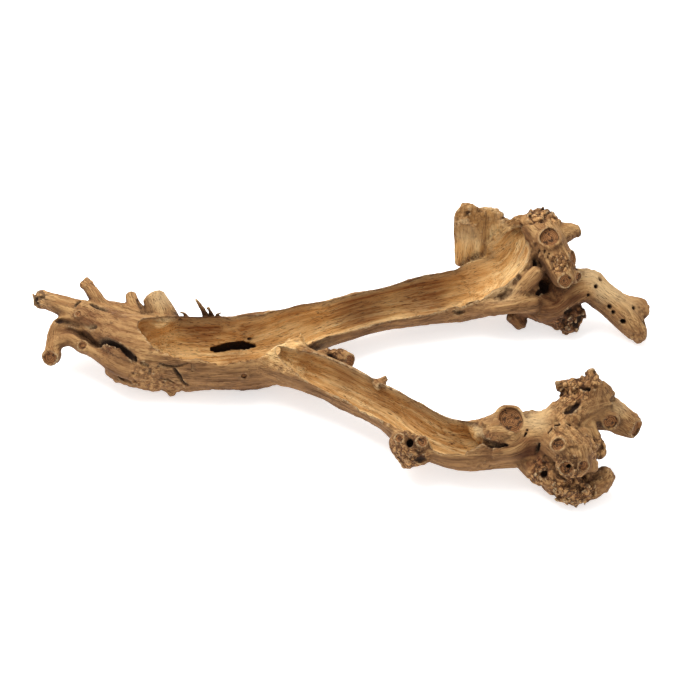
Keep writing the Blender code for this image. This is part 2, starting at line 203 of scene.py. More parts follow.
# Gnarled wood: (x, y, z), radius of the patch, and how many millimetres it is thrown up.
GNARLS = [
    (236, 180, 117, 25, 4.0), (252, 115, 100, 15, 3.0), (264, 122, 95, 14, 2.4), (270, 104, 19, 27, 3.4),
    (206, 118, 58, 22, 1.0), (172, 108, 46, 20, 1.2), (192, 188, 116, 16, 2.2), (150, 184, 122, 26, 1.6),
    (178, 186, 108, 22, 1.4), (224, 134, 104, 18, 1.4), (220, 120, 20, 22, 1.4), (352, 112, 33, 16, 1.4),
    (346, 90, 12, 12, 1.4), (290, 138, 66, 26, 0.7), (206, 178, 112, 16, 2.0), (238, 140, 70, 16, 1.6),
    (256, -102, 88, 28, 3.4), (270, -98, 108, 20, 2.6), (245, -180, 52, 24, 2.8), (262, -160, 60, 22, 2.2),
    (250, -178, 18, 32, 3.4), (220, -160, 28, 22, 3.4), (278, -148, 52, 16, 2.4), (245, -125, 84, 26, 2.0),
    (172, -128, 60, 24, 1.2), (165, -142, 56, 16, 2.2), (74, -140, 40, 26, 2.8), (318, -116, 52, 13, 1.2),
    (288, -172, 24, 20, 1.4), (215, -108, 70, 18, 2.2), (200, -108, 62, 16, 1.8), (244, -160, 76, 26, 1.8),
    (180, -112, 62, 16, 1.8), (158, -120, 60, 18, 1.8), (322, -112, 58, 12, 1.8), (290, -100, 78, 20, 1.2),
    (-354, 91, 68, 15, 3.0), (-270, 40, 72, 40, 0.6), (-299, 104, 76, 12, 2.0), (-258, -2, 26, 24, 1.0),
    (-222, -8, 36, 30, 1.8), (-190, -10, 20, 22, 1.6), (-14, 26, 32, 22, 2.6), (-120, 14, 8, 60, 0.8),
    (44, -52, 62, 14, 1.6), (-205, 62, 66, 12, 1.2), (-330, 48, 52, 16, 0.8), (-60, -18, 34, 26, 0.8),
    (20, -62, 36, 34, 0.7), (136, 104, 32, 26, 0.8), (150, -150, 40, 26, 1.0), (-60, 20, 68, 16, 1.2),
]

# Places outside the troughs where the bark side has worn away to heartwood: (x, y, z) and radius.
PEELED = [
    (-74, 14, 70, 30), (-45, 26, 66, 20), (150, 176, 66, 24), (188, 172, 92, 20), (206, 134, 84, 12),
]

# Stains and bleached places, some of them painted shade under and behind limbs and painted light on shaded
# spots: (x, y, z), radius, and how dark (or, below nought, how pale) the wood is.
STAINS_AND_SHADING = [
    (-262, 30, 70, 55, 0.55), (-300, 50, 62, 30, 0.35), (-262, 0, 36, 40, 0.3), (-325, 48, 48, 20, 0.5),
    (-345, 90, 72, 16, -0.2), (-212, 70, 80, 24, -0.5), (-290, 26, 52, 24, -0.2), (-225, 30, 80, 22, 0.2),
    (-165, 54, 66, 36, 1.0), (-110, 62, 60, 30, 0.55), (-60, 80, 56, 26, 0.4), (20, 112, 48, 44, 0.8),
    (95, 134, 46, 42, 0.85), (202, 148, 88, 24, 0.6), (186, 136, 72, 20, 0.4), (-110, 16, 16, 44, 0.5),
    (20, -60, 46, 60, 0.2), (100, -115, 44, 50, 0.25), (198, 118, 62, 24, -0.2), (-160, 61, 82, 14, -0.7),
    (150, 150, 60, 26, 0.35), (-180, 10, 20, 40, -0.25), (-90, 40, 22, 26, -0.25), (176, 118, 60, 30, -0.3),
    (196, 140, 78, 24, -0.2), (-236, 30, 74, 13, -0.5), (-74, 14, 72, 20, -0.35), (-28, 48, 40, 24, -0.4),
    (166, -126, 70, 14, -0.4), (206, 118, 14, 22, 0.8), (150, 178, 92, 20, -0.5), (182, 178, 106, 16, -0.1),
    (216, 160, 108, 13, 0.5), (250, 128, 98, 24, 0.2), (240, 125, 62, 30, 0.9), (262, 110, 24, 40, 0.8),
    (232, 182, 116, 20, 0.5), (214, 122, 56, 16, 0.3), (300, 132, 60, 34, -0.6), (335, 112, 44, 24, -0.35),
    (318, 96, 28, 22, 0.35), (276, 118, 50, 22, 0.5), (224, 118, 30, 26, 0.5), (212, -126, 76, 24, -0.5),
    (300, -108, 74, 18, -0.4), (256, -104, 88, 26, 0.5), (270, -97, 108, 16, 0.3), (205, -156, 48, 24, 0.8),
    (250, -180, 40, 28, 0.15), (240, -182, 20, 46, 0.25), (286, -170, 26, 14, 0.1),
    (160, -146, 54, 22, 0.7), (172, -124, 66, 18, 0.2), (74, -142, 44, 22, 0.4), (243, -116, 74, 12, 0.9),
    (-12, 20, 34, 22, 0.6), (-40, -6, 56, 22, 0.35), (0, -24, 54, 26, 0.4), (40, -52, 50, 30, 0.35),
    (76, -80, 48, 26, 0.3), (120, -128, 34, 26, 0.1), (-150, -16, 22, 70, 0.25), (-30, -50, 34, 60, 0.15),
    (60, 100, 30, 60, 0.05), (-100, -16, 52, 26, -0.1), (20, -72, 48, 50, -0.05),
]

HOLLOWS = {
    "floor_hole": [(-153, 46, 30, 2, 3), (-140, 46, 26, 4.5, 12), (-116, 48, 26, 5, 12),
        (-104, 48, 30, 2, 3)],
    "floor_slit": [(-112, 52, 38, 1.5, 2), (-104, 53, 40, 1.2, 2)],
    "claw_cleft": [(-298, 37, 50, 1.4, 4), (-286, 27, 54, 2.2, 8), (-270, 15, 58, 3, 11),
        (-256, 5, 61, 2.6, 10), (-245, -3, 61, 2.6, 7), (-236, -9, 60, 1.5, 4)],
    "cleft_eye": [(-237, -9, 60, 3, 3), (-232, -6, 56, 3, 3)],
    "snout_crack": [(-332, 60, 60, 3, 4), (-320, 56, 63, 3.5, 6), (-306, 49, 66, 3, 6),
        (-294, 41, 68, 2.2, 5), (-282, 35, 70, 1.2, 4)],
    "hook_loop": [(-329, 49, 54, 2, 1.5), (-323, 49, 55, 3.5, 2), (-315, 48, 56, 2, 1.5)],
    "finger_pit": [(-291, 70, 76, 2.5, 4), (-281, 61, 78, 3.5, 7), (-270, 53, 80, 1.5, 3)],
    "thumb_gap": [(-238, 80, 80, 2.5, 8), (-234, 68, 80, 3, 10), (-229, 54, 82, 2, 6)],
    "belly_slit": [(-262, 0, 36, 2, 3), (-250, -8, 30, 2, 4), (-240, -11, 24, 1, 2)],
    "snout_notch": [(-358, 84, 72, 3, 3), (-348, 86, 74, 2, 3)],
    "snout_break": [(-362, 102, 78, 5, 5), (-357, 92, 68, 4, 5), (-358, 78, 60, 3, 4)],
    "snout_notch_low": [(-357, 80, 64, 3, 3), (-350, 80, 64, 2, 2)],
    "snout_check": [(-322, 66, 74, 4, 4), (-320, 72, 75, 0.9, 3)],
    "snout_branch_base": [(-312, 62, 76, 1.5, 3), (-309, 70, 76, 1.8, 4), (-305, 76, 74, 1, 3)],
    "slab_hole": [(137, 180, 118, 2, 4), (141, 181, 121, 3.5, 5), (145, 183, 124, 2.5, 4),
        (149, 182, 126, 1, 3)],
    "slab_slit": [(176, 170, 92, 1.6, 4), (190, 168, 100, 2.4, 5), (199, 168, 104, 1, 3)],
    "slab_bite": [(194, 186, 118, 5, 5), (199, 184, 110, 5, 7)],
    "block_hollow": [(207, 122, 78, 2.5, 4), (206, 124, 72, 3, 5)],
    "block_side": [(232, 116, 58, 3, 6), (226, 110, 52, 2, 4)],
    "stem_hollow": [(240, 108, 62, 5, 6), (237, 130, 60, 8, 11)],
    "stem_hollow_left": [(229, 128, 82, 3, 7), (226, 140, 82, 3, 9)],
    "arch_slit": [(244, 98, 48, 1.8, 3), (252, 100, 54, 2.6, 5), (260, 106, 60, 1.5, 3)],
    "arch_under": [(262, 100, 38, 5, 5), (276, 104, 42, 7, 6), (288, 110, 38, 4, 5)],
    "root_end_hollow": [(292, 102, 8, 9, 9), (276, 106, 22, 8, 9)],
    "root_end_pit": [(256, 92, 22, 3, 4), (262, 100, 24, 4, 5)],
    "ledge_cut": [(148, 107, 43, 2.5, 4), (158, 112, 54, 1.6, 4), (166, 118, 58, 1, 3)],
    "ledge_pit": [(131, 98, 42, 3, 3), (139, 100, 38, 4, 3), (143, 101, 40, 1.5, 2)],
    "stem_hatch_a": [(223, 141, 99, 0.6, 1.4), (225, 142, 108, 0.7, 2)],
    "stem_hatch_b": [(228, 135, 97, 0.6, 1.6), (231, 137, 104, 0.8, 2.2), (230, 138, 109, 0.6, 1.5)],
    "stem_hatch_c": [(234, 129, 100, 0.6, 1.5), (235, 131, 107, 0.8, 2)],
    "stem_hatch_d": [(238, 124, 100, 0.5, 1.2), (240, 127, 105, 0.7, 2)],
    "lobe_hollow": [(241, -134, 90, 2, 3), (246, -131, 90, 4, 5), (251, -128, 91, 3.4, 4),
        (256, -122, 92, 1.4, 3)],
    "lobe_slot": [(291, -114, 90, 1.2, 3), (295, -109, 89, 2, 4), (298, -104, 86, 1.2, 2)],
    "crest_slot": [(258, -108, 100, 1, 3), (266, -111, 103, 1.8, 4), (276, -112, 101, 1, 2)],
    "burl_crack": [(180, -128, 76, 2.5, 6), (188, -124, 78, 3, 7), (194, -126, 74, 2, 4)],
    "burl_under": [(136, -146, 52, 1, 3), (150, -147, 54, 2, 4), (162, -150, 55, 3, 5),
        (168, -151, 57, 2, 5), (178, -151, 54, 3, 5)],
    "neck_cleft": [(194, -148, 59, 0.6, 2), (200, -140, 65, 0.9, 3), (203, -134, 69, 0.6, 2)],
    "neck_fold": [(207, -157, 46, 1.2, 3), (215, -149, 57, 2, 5), (220, -141, 66, 1, 3)],
    "face_groove": [(222, -150, 74, 1.2, 3), (232, -146, 80, 1.6, 4), (246, -146, 82, 1, 3)],
    "face_under": [(228, -186, 44, 3, 4), (244, -196, 38, 5, 5), (262, -192, 40, 4, 5),
        (274, -180, 40, 3, 4)],
    "face_split": [(250, -192, 60, 1.6, 4), (252, -186, 70, 1.2, 3)],
    "face_pit": [(244, -186, 58, 3, 3), (243, -180, 58, 3, 3)],
    "heel_hole": [(218, -176, 36, 3, 4), (220, -168, 33, 4, 4)],
    "base_split": [(232, -192, 20, 3, 4), (246, -197, 22, 3, 6), (262, -194, 24, 2, 4)],
    "knot_hole": [(73, -146, 56, 3.5, 4), (74, -138, 48, 4, 5)],
    "knot_cave": [(75, -158, 43, 4, 5), (86, -156, 40, 5, 6), (95, -154, 40, 3, 4)],
    "arm_groove_a": [(-60, -3, 62, 1, 3), (-38, -8, 56, 2, 4), (-15, -17, 45, 1, 3)],
    "arm_groove_b": [(-34, -9, 63, 1, 3), (-10, -18, 56, 2, 4), (12, -32, 49, 1, 3)],
    "arm_groove_c": [(-3, -21, 60, 1, 3), (31, -46, 53, 2.4, 5), (60, -68, 47, 2, 4), (90, -93, 43, 1, 3)],
    "stub_gap": [(-19, 18, 56, 2.5, 4), (-13, 16, 46, 3, 6), (-9, 12, 36, 3, 5)],
    "wall_crack_a": [(-146, -19, 62, 5, 1.6), (-147, -22, 50, 5, 1.3), (-144, -21, 36, 4, 1.1)],
    "wall_crack_b": [(-168, -18, 62, 4, 1.5), (-169, -20, 50, 4, 1.2)],
    "wall_crack_c": [(-191, -18, 52, 4, 1.5), (-186, -19, 43, 5, 1.8), (-183, -19, 35, 4, 1.5),
        (-177, -18, 26, 3, 1.2)],
    "wall_crack_d": [(-219, -18, 50, 4, 1.7), (-220, -18, 37, 4, 1.2)],
    "wall_crack_e": [(-229, -14, 57, 3, 1.8), (-222, -17, 54, 4, 2)],
    "wall_crack_f": [(-208, -17, 57, 4, 1.2), (-192, -19, 55, 4, 1.6), (-176, -18, 60, 3, 1.1)],
    "wall_crack_g": [(-214, -19, 34, 4, 1.2), (-202, -20, 36, 4, 1.6), (-192, -19, 31, 3, 1)],
    "rear_crack": [(-189, 51, 68, 3, 1.5), (-187, 51, 60, 3, 1.2), (-182, 50, 46, 3, 1)],
    "leg_hole_a": [(303, 134, 68, 1.8, 1.8), (303, 130, 62, 1.8, 1.8)],
    "leg_hole_b": [(298, 120, 62, 2.4, 2.4), (297, 126, 56, 2.4, 2.4)],
    "leg_hole_c": [(289, 114, 53, 1.6, 1.6), (289, 120, 50, 1.6, 1.6)],
    "leg_hole_d": [(314, 104, 45, 2.2, 3), (313, 110, 40, 2, 2)],
    "leg_hole_e": [(318, 101, 38, 2, 2.6), (317, 108, 36, 2, 2)],
    "leg_hole_f": [(329, 94, 31, 3.4, 3), (327, 102, 28, 3, 3)],
    "leg_hole_g": [(343, 105, 42, 1.8, 1.8), (340, 110, 38, 1.8, 1.8)],
    "leg_notch": [(362, 98, 27, 5, 5), (352, 96, 25, 3, 4), (346, 94, 22, 2, 3)],
}


# ---- the field


def curve(p, q, r, s, t):
    """A Catmull-Rom curve's value between q and r, at share t."""
    return q + 0.5 * t * (r - p + t * (2 * p - 5 * q + 4 * r - s + t * (3 * q - p - 3 * r + s)))


class Limb:
    """A limb's middle line as closely spaced stations, each with its section and its directions."""

    def __init__(self, stations, gap=5.0, last=WHOLE):
        full = [tuple(s) + (0.0, last)[len(s) - 5:] for s in stations]
        full = np.array(full, float)
        path = []
        for i in range(len(full) - 1):
            before, after = full[max(i - 1, 0)], full[min(i + 2, len(full) - 1)]
            a, b = full[i], full[i + 1]
            count = max(1, round(math.dist(a[:3], b[:3]) / gap))
            path += [curve(before, a, b, after, k / count) for k in range(count)]
        path = np.array(path + [full[-1]])
        self.centre = path[:, :3]
        self.size = np.maximum(path[:, 3:5], 0.5)
        self.extra = path[:, 6]
        line = np.gradient(self.centre, axis=0)
        line /= np.linalg.norm(line, axis=1, keepdims=True)
        side = np.cross(line[0], (0.0, 0.0, 1.0))
        sides = []
        for direction in line:
            side = side - direction * side.dot(direction)
            side = side / np.linalg.norm(side)
            sides.append(side)
        side = np.array(sides)
        over = np.cross(side, line)
        roll = np.radians(path[:, 5])[:, None]
        self.side = side * np.cos(roll) - over * np.sin(roll)
        self.over = over * np.cos(roll) + side * np.sin(roll)
        self.line = line
        steps = np.linalg.norm(np.diff(self.centre, axis=0), axis=1)
        self.length = np.concatenate([[0.0], np.cumsum(steps)])

    def segments(self):
        return range(len(self.centre) - 1)

    def local(self, x, y, z, i):
        """Share along segment i, and the offsets across, over and along it, of the points x, y, z."""
        a, ab = self.centre[i], self.centre[i + 1] - self.centre[i]
        x, y, z = x - a[0], y - a[1], z - a[2]
        t = np.clip((x * ab[0] + y * ab[1] + z * ab[2]) / ab.dot(ab), 0.0, 1.0)
        x, y, z = x - t * ab[0], y - t * ab[1], z - t * ab[2]
        out = [t]
        for name in ("side", "over"):
            u, du = getattr(self, name)[i], getattr(self, name)[i + 1] - getattr(self, name)[i]
            out.append(x * u[0] + y * u[1] + z * u[2] + t * (x * du[0] + y * du[1] + z * du[2]))
        u = self.line[i]
        out.append(x * u[0] + y * u[1] + z * u[2])
        return out


def section(limb, i, t, across, over, beyond, lift):
    """About how far a point lies outside an elliptic section, whose ends are rounded."""
    wide = limb.size[i, 0] + t * (limb.size[i + 1, 0] - limb.size[i, 0])
    high = limb.size[i, 1] + t * (limb.size[i + 1, 1] - limb.size[i, 1])
    if lift:
        over = over - high * (limb.extra[i] + t * (limb.extra[i + 1] - limb.extra[i]))
    cap = np.minimum(wide, high) * CAP
    u, v, w = across / wide, over / high, beyond / cap
    k = np.sqrt(u * u + v * v + w * w) + 1e-6
    return (k - 1.0) * k / (np.sqrt((u / wide) ** 2 + (v / high) ** 2 + (w / cap) ** 2) + 1e-6)


def smoothstep(low, high, value):
    t = np.clip((value - low) / (high - low), 0.0, 1.0)
    return t * t * (3.0 - 2.0 * t)


def corners(base, share):
    """The eight grid corners round each point, and how much each counts."""
    for corner in range(8):
        bits = np.array([corner & 1, corner >> 1 & 1, corner >> 2 & 1])
        yield base + bits, np.prod(np.where(bits, share, 1.0 - share), axis=1)


def blended(a, b, blend):
    """The lower of two fields, with a fillet of about blend where they meet."""
    share = np.maximum(blend - np.abs(a - b), 0.0) / blend
    return np.minimum(a, b) - share * share * blend * 0.25


def away(points, *place):
    return np.linalg.norm(points - np.array(place), axis=1)


def lattice(points, spacing, seed):
    """Smooth random values from -1 to 1 at the points, a bump every spacing (a number or one per axis)."""
    p = points / np.asarray(spacing, float)
    base = np.floor(p).astype(np.int64)
    f = p - base
    f = f * f * (3.0 - 2.0 * f)
    total = np.zeros(len(p))
    for c, weight in corners(base, f):
        key = (c[:, 0] * 73856093) ^ (c[:, 1] * 19349663) ^ (c[:, 2] * 83492791) ^ (seed * 2654435761)
        key = (key ^ (key >> 13)) * 1274126177 & 0x7FFFFFFF
        value = (key ^ (key >> 16)) % 65536 / 32767.5 - 1.0
        total += value * weight
    return total


def gnarled(points):
    """How gnarled the wood is at each point, in millimetres."""
    total = np.zeros(len(points))
    for x, y, z, radius, amount in GNARLS:
        gap = away(points, x, y, z)
        total = np.maximum(total, amount * smoothstep(radius * 1.15, radius * 0.6, gap))
    return total


def stained_or_shaded(points):
    """How stained, or painted with shade or light, the wood is at each point: 1 for darkest, -1 for palest.
    """
    total = np.zeros(len(points))
    for x, y, z, radius, amount in STAINS_AND_SHADING:
        total += amount * smoothstep(radius * 1.3, radius * 0.3, away(points, x, y, z))
    return np.clip(total, -1.0, 1.0)


def bend(x, y, z):
    """Moves places by a little, so that limbs wander off their smooth lines."""
    x2 = x + WANDER * np.sin(y / 13.0 + 1.0) * np.cos(z / 17.0 + x / 41.0)
    y2 = y + WANDER * np.sin(x / 15.0 + 2.0) * np.cos(z / 12.0 + y / 37.0)
    z2 = z + WANDER * np.sin(x / 19.0 + 3.0) * np.cos(y / 16.0 + x / 53.0)
    return x2, y2, z2


class Wood:
    """The field: distance to the wood's surface at every grid point, negative inside."""

    def __init__(self):
        self.shape = tuple(int(math.ceil((b - a) / CELL)) + 1 for a, b in zip(LOW, HIGH))
        self.field = np.full(self.shape, AIR, np.float32)
        axes = [np.arange(n, dtype=np.float32) * CELL + low for n, low in zip(self.shape, LOW)]
        x, y, z = np.meshgrid(*axes, indexing="ij")
        self.x, self.y, self.z = bend(x, y, z)
        splinters = 1.4 * np.sin(x / 2.3 - y / 3.1) * np.sin(x / 11.0 + y / 5.0)
        self.ragged = 1.3 * np.sin(x / 7.1 + y / 11.0) + splinters

    def window(self, low, high, margin):
        """The part of the grid that holds the box from low to high, with a margin round it."""
        cells = []
        for a, b, base, n in zip(low, high, LOW, self.shape):
            first = max(0, int((a - margin - base) / CELL))
            last = min(n, int((b + margin - base) / CELL) + 2)
            cells.append(slice(first, max(last, first)))
        return tuple(cells)

    def distance(self, limb, i, lift, reach):
        """The part of the grid near segment i, and its distance to that segment."""
        ends = limb.centre[i:i + 2]
        size = limb.size[i:i + 2].max()
        if lift:
            size += np.abs(limb.extra[i:i + 2]).max() * limb.size[i:i + 2, 1].max()
        cells = self.window(ends.min(0), ends.max(0), size + reach)
        t, across, over, beyond = limb.local(self.x[cells], self.y[cells], self.z[cells], i)
        return cells, t, over, section(limb, i, t, across, over, beyond, lift)

    def near(self, limb, whole, reach, lift=False):
        """Distance to the limb, or to what its rim leaves of it, in the window whole of the grid."""
        near = np.full(self.field[whole].shape, AIR, np.float32)
        for i in limb.segments():
            cells, t, over, gap = self.distance(limb, i, lift, reach)
            if not lift and limb.extra[i:i + 2].min() < WHOLE - 1:
                rim = limb.extra[i] + t * (limb.extra[i + 1] - limb.extra[i]) + self.ragged[cells]
                gap = np.maximum(gap, over - rim)
            inner = tuple(slice(c.start - w.start, c.stop - w.start) for c, w in zip(cells, whole))
            np.minimum(near[inner], gap, out=near[inner])
        return near

    def grow(self, limb, blend):
        """Adds a limb, with a fillet of about blend where it meets the wood that is there."""
        whole = self.window(limb.centre.min(0), limb.centre.max(0), limb.size.max() + REACH + blend)
        near = self.near(limb, whole, REACH + blend)
        self.field[whole] = blended(self.field[whole], near, blend)

    def carve(self, limb, blend, lift=False):
        """Takes a limb-shaped hollow out of the wood, its lips rounded by about blend."""
        reach = REACH + blend + (limb.size.max() * (1 + np.abs(limb.extra).max()) if lift else 0.0)
        whole = self.window(limb.centre.min(0), limb.centre.max(0), limb.size.max() + reach)
        near = self.near(limb, whole, REACH + blend, lift)
        self.field[whole] = -blended(-self.field[whole], near, blend)

    def roughen(self):
        """Throws the surface up into lumps, and into creased gnarls where the wood is gnarled."""
        band = np.nonzero(np.abs(self.field) < SKIN)
        points = np.stack([part[band] for part in (self.x, self.y, self.z)], axis=1).astype(np.float64)
        lumps = sum(height * lattice(points, spacing, seed) for height, spacing, seed in LUMPS)
        wild = gnarled(points)
        some = wild > 0.01
        swirl = np.stack([lattice(points[some], 9.0, seed) for seed in (6, 7, 8)], axis=1)
        near = points[some] + 3.0 * swirl
        folds = 1.6 * np.abs(lattice(near, 12.0, 3)) + 1.2 * np.abs(lattice(near, 6.5, 4)) - 0.75
        folds += 0.65 * lattice(near, 3.6, 5)
        lumps[some] += wild[some] * folds
        self.field[band] -= lumps.astype(np.float32)

    def scar(self, x, y, z, dx, dy, dz, radius):
        """Where a shoot was sawn or snapped off: a short stub with a sunk face and a healed collar."""
        centre = np.array((x, y, z), float)
        way = np.array((dx, dy, dz)) / np.linalg.norm((dx, dy, dz))
        cells = self.window(centre, centre, radius * 2.2 + 6.0)
        gap = [part[cells] - c for part, c in zip((self.x, self.y, self.z), centre)]
        u = gap[0] * way[0] + gap[1] * way[1] + gap[2] * way[2]
        v = np.sqrt(np.maximum(gap[0] ** 2 + gap[1] ** 2 + gap[2] ** 2 - u * u, 0.0))
        v += radius * 0.09 * np.sin(gap[0] / radius * 3.0 + x) * np.cos(gap[2] / radius * 4.0 + y)
        stub = np.maximum(np.maximum(v - radius * 1.04, u), -u - radius * 1.6)
        collar = np.sqrt((v - radius * 0.98) ** 2 + (u + 1.0) ** 2) - radius * 0.14 - 0.3
        old = self.field[cells]
        for new, blend in ((stub, 7.0), (collar, 2.5)):
            old = blended(old, new, blend)
        dish = np.maximum(np.maximum(v - radius * 0.84, -u - radius * 0.12), u - radius * 1.8)
        self.field[cells] = np.maximum(old, -dish)

    def surface(self):
        """Points in millimetres and faces of the zero surface."""
        grid = openvdb.FloatGrid()
        grid.background = AIR
        grid.copyFromArray(np.ascontiguousarray(self.field))
        points, quads = grid.convertToQuads(isovalue=0.0)
        return points * CELL + np.array(LOW), quads


def sample(field, points):
    """The field's value at the points, between its grid values."""
    p = (points - np.array(LOW)) / CELL
    base = np.clip(np.floor(p).astype(int), 0, np.array(field.shape) - 2)
    f = p - base
    total = np.zeros(len(p))
    for c, weight in corners(base, f):
        total += field[c[:, 0], c[:, 1], c[:, 2]] * weight
    return total


def grow_wood():
    """The finished field, and copies of it from before the heart and the clefts were taken out."""
    wood = Wood()
    for stations in CORE.values():
        wood.grow(Limb(stations), CORE_FILLET)
    solid = wood.field.copy()
    for stations in TROUGHS.values():
        wood.carve(Limb(stations, last=0.0), TROUGH_LIP, lift=True)
    for stations in GROWTHS.values():
        wood.grow(Limb(stations), GROWTH_FILLET)
    for stations in SPLINTERS.values():
        wood.grow(Limb(stations), SPLINTER_FILLET)
    wood.roughen()
    for scar in SCARS.values():
        wood.scar(*scar)
    sound = wood.field.copy()
    for stations in HOLLOWS.values():
        wood.carve(Limb(stations), HOLLOW_LIP)
    floor = -(np.arange(wood.shape[2]) * CELL + LOW[2]).astype(np.float32)
    np.maximum(wood.field, floor, out=wood.field)
    return wood, solid, sound


# ---- the mesh


def mesh_from(name, points, faces):
    mesh = bpy.data.meshes.new(name)
    mesh.vertices.add(len(points))
    mesh.vertices.foreach_set("co", (points * MM).astype(np.float32).ravel())
    mesh.loops.add(faces.size)
    mesh.loops.foreach_set("vertex_index", faces.astype(np.int32).ravel())
    mesh.polygons.add(len(faces))
    mesh.polygons.foreach_set("loop_start", np.arange(len(faces), dtype=np.int32) * faces.shape[1])
    mesh.update(calc_edges=True)
    mesh.validate()
    return mesh


def read(items, name, width=3, kind=float):
    values = np.empty(len(items) * width, kind)
    items.foreach_get(name, values)
    return values.reshape(-1, width)


def triangles_of(mesh):
    mesh.calc_loop_triangles()
    return read(mesh.loop_triangles, "vertices", kind=np.int64)


def points_of(mesh):
    return read(mesh.vertices, "co") / MM


def normals_of(mesh):
    return read(mesh.vertex_normals, "vector")


def one_skin(points, triangles):
    """Only the largest connected skin: specks and closed voids inside the wood are left out."""
    label = np.arange(len(points))
    settled = False
    while not settled:
        lowest = label.copy()
        np.minimum.at(lowest, triangles.ravel(), np.repeat(label[triangles].min(axis=1), 3))
        lowest = lowest[lowest]
        settled = bool((lowest == label).all())
        label = lowest
    largest = np.bincount(label[triangles[:, 0]]).argmax()
    triangles = triangles[label[triangles[:, 0]] == largest]
    used, corners = np.unique(triangles, return_inverse=True)
    return points[used], corners.reshape(-1, 3)


def neighbour_mean(mesh, values):
    """Each vertex's mean of values over the vertices it shares an edge with."""
    a, b = read(mesh.edges, "vertices", 2, np.int64).T
    count = np.bincount(np.concatenate([a, b]), minlength=len(values))
    columns = values.reshape(len(values), -1).T
    sums = [np.bincount(np.concatenate([a, b]), np.concatenate([c[b], c[a]]), len(values)) for c in columns]
    return (np.array(sums) / np.maximum(count, 1)).T.reshape(values.shape)


def bulge(mesh, points, normals):
    """How sharply the surface bulges towards the normals, per millimetre, evened out a little."""
    squares, mean = np.sum(points * points, axis=1), neighbour_mean(mesh, points)
    apart = neighbour_mean(mesh, squares) - 2.0 * np.sum(points * mean, axis=1) + squares
    rise = np.sum((points - mean) * normals, axis=1)
    return neighbour_mean(mesh, 2.0 * rise / np.maximum(apart, 0.05))


def bent(points):
    """Points moved as the field's grid is, so that limb distances hold for them too."""
    return np.stack(bend(*points.T), axis=1)


def grain(points):
    """Where each point lies in the grain of its two nearest limbs, as (along, across, over) in millimetres,
    and the share of the second."""
    moved = bent(points)
    best = np.full((2, len(points)), 1e6)
    place = np.zeros((2, len(points), 3))
    owner = np.full((2, len(points)), -1)
    for number, stations in enumerate(list(CORE.values()) + list(GROWTHS.values())):
        limb = Limb(stations)
        margin = limb.size.max() + GRAIN_MARGIN
        low, high = limb.centre.min(0) - margin, limb.centre.max(0) + margin
        close = np.nonzero(np.all((moved > low) & (moved < high), axis=1))[0]
        x, y, z = moved[close].T
        near = np.full(len(close), 1e5)
        spot = np.zeros((len(close), 3))
        for i in limb.segments():
            t, across, over, beyond = limb.local(x, y, z, i)
            gap = section(limb, i, t, across, over, beyond, False)
            closer = gap < near
            near[closer] = gap[closer]
            along = limb.length[i] + t * (limb.length[i + 1] - limb.length[i]) + beyond
            spot[closer] = np.stack([along, across, over], axis=1)[closer]
        spot[:, 0] += 137.0 * number
        first = near < best[0, close]
        second = ~first & (near < best[1, close])
        for table in (best, place, owner):
            table[1, close[first]] = table[0, close[first]]
        for rank, chosen in ((0, first), (1, second)):
            best[rank, close[chosen]] = near[chosen]
            place[rank, close[chosen]] = spot[chosen]
            owner[rank, close[chosen]] = number
    share = 0.5 * (1.0 - smoothstep(0.0, GRAIN_BLEND, best[1] - best[0]))
    place[1][share <= 0.0] = place[0][share <= 0.0]
    swap = owner[1] < owner[0]
    place[0][swap], place[1][swap] = place[1][swap].copy(), place[0][swap].copy()
    share = np.where(swap, 1.0 - share, share)
    return place[0], place[1], share


def fibre(places, along, across, seed):
    """Streaks that run with the grain of both limbs."""
    first, second, share = places
    scale = (along, across, across)
    return lattice(first, scale, seed) * (1.0 - share) + lattice(second, scale, seed) * share


def give(mesh, name, values):
    kind = "FLOAT_VECTOR" if values.ndim == 2 else "FLOAT"
    layer = mesh.attributes.new(name, kind, "POINT")
    layer.data.foreach_set("vector" if values.ndim == 2 else "value", values.astype(np.float32).ravel())


def relief(points, places):
    """How far the weathered surface stands proud, in millimetres."""
    grit = 0.3 * lattice(points, 4.5, 3)
    return grit + 0.55 * fibre(places, 70.0, 7.0, 4) + 0.45 * fibre(places, 30.0, 3.2, 5)


